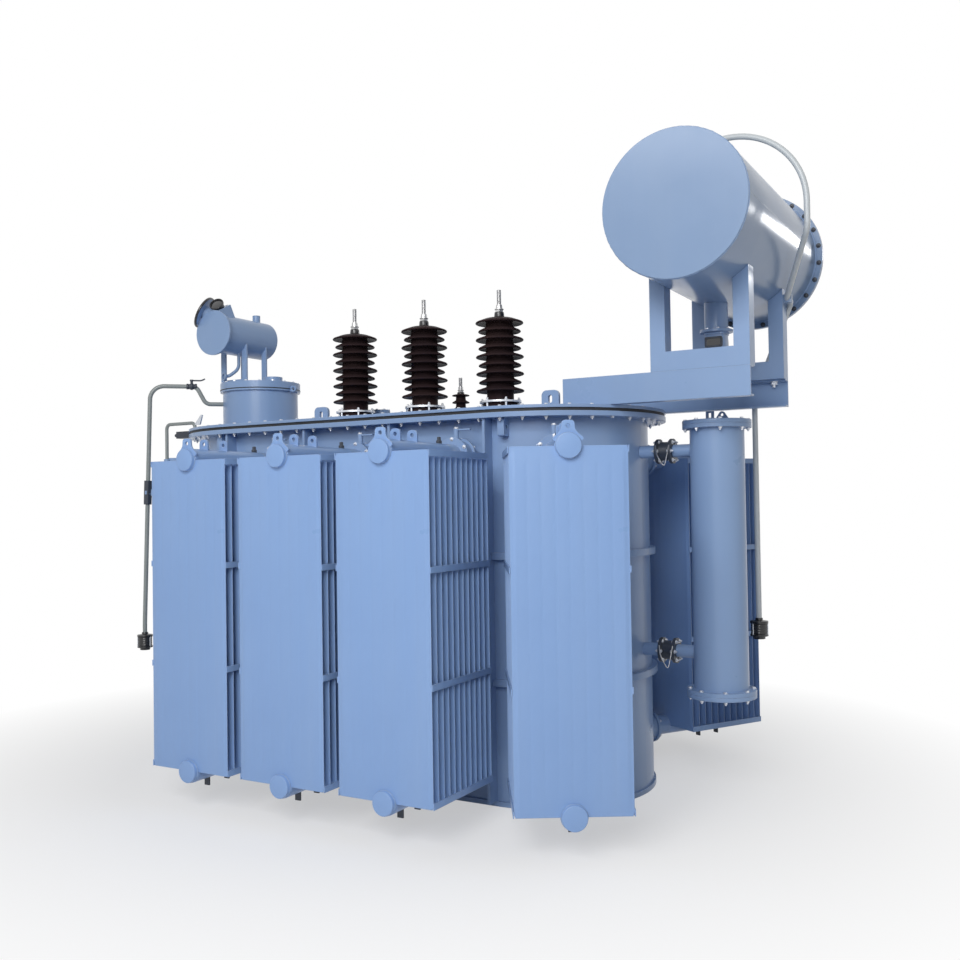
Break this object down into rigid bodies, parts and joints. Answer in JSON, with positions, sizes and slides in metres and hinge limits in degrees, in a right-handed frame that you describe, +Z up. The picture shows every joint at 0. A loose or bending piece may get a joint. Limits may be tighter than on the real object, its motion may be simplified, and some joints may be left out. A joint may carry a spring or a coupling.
{
  "type": "oil-filled power transformer",
  "caption": "Oil-filled power transformer: obround tank with panel radiators, porcelain bushings, tap changer and conservator drum on a cantilevered frame.",
  "frame": {"origin": "middle of the tank's base on the floor", "axes": "+Z up, +X to the conservator end, -Y to the front with the high-voltage bushings"},
  "size_m": [4.233, 2.8, 3.406],
  "materials": {
    "tank_paint": "glossy pale blue-grey enamel",
    "porcelain": "near-black brown glaze",
    "terminal_metal": "tinned studs and caps",
    "gasket_rubber": "dull black",
    "valve_dark": "dark painted casting",
    "breather_black": "dark housing",
    "pipe_grey": "grey painted pipe"
  },
  "bodies": {
    "root": {"back_wall": "tank_paint", "base_plate": "tank_paint", "breather_pipe": "tank_paint", "breathers": "breather_black", "bushing_flanges": "tank_paint", "bushing_terminals": "terminal_metal", "conservator_beams": "tank_paint", "conservator_cover": "tank_paint", "conservator_flange": "tank_paint", "conservator_frames": "tank_paint", "conservator_front": "tank_paint", "conservator_lower": "tank_paint", "conservator_outlet": "tank_paint", "conservator_upper": "tank_paint", "cover": "tank_paint", "cover_gasket": "gasket_rubber", "cover_lugs": "tank_paint", "filter_column": "tank_paint", "filter_lids": "tank_paint", "filter_pipes": "tank_paint", "filter_valves": "valve_dark", "front_wall": "tank_paint", "gas_relay": "valve_dark", "hv_bushing_1": "porcelain", "hv_bushing_2": "porcelain", "hv_bushing_3": "porcelain", "left_end_back": "tank_paint", "left_end_front": "tank_paint", "lv_bushings": "porcelain", "oil_pipe": "tank_paint", "radiator_back_1": "tank_paint", "radiator_back_2": "tank_paint", "radiator_back_3": "tank_paint", "radiator_end_back": "tank_paint", "radiator_end_front": "tank_paint", "radiator_front_1": "tank_paint", "radiator_front_2": "tank_paint", "radiator_front_3": "tank_paint", "radiator_pipes": "tank_paint", "radiator_valves": "valve_dark", "right_end_back": "tank_paint", "right_end_front": "tank_paint", "tank_rim": "tank_paint", "tap_changer_brackets": "tank_paint", "tap_changer_drum": "tank_paint", "tap_changer_head": "tank_paint", "tap_changer_pipe": "pipe_grey", "tap_changer_turret": "tank_paint"}
  },
  "joints": []
}
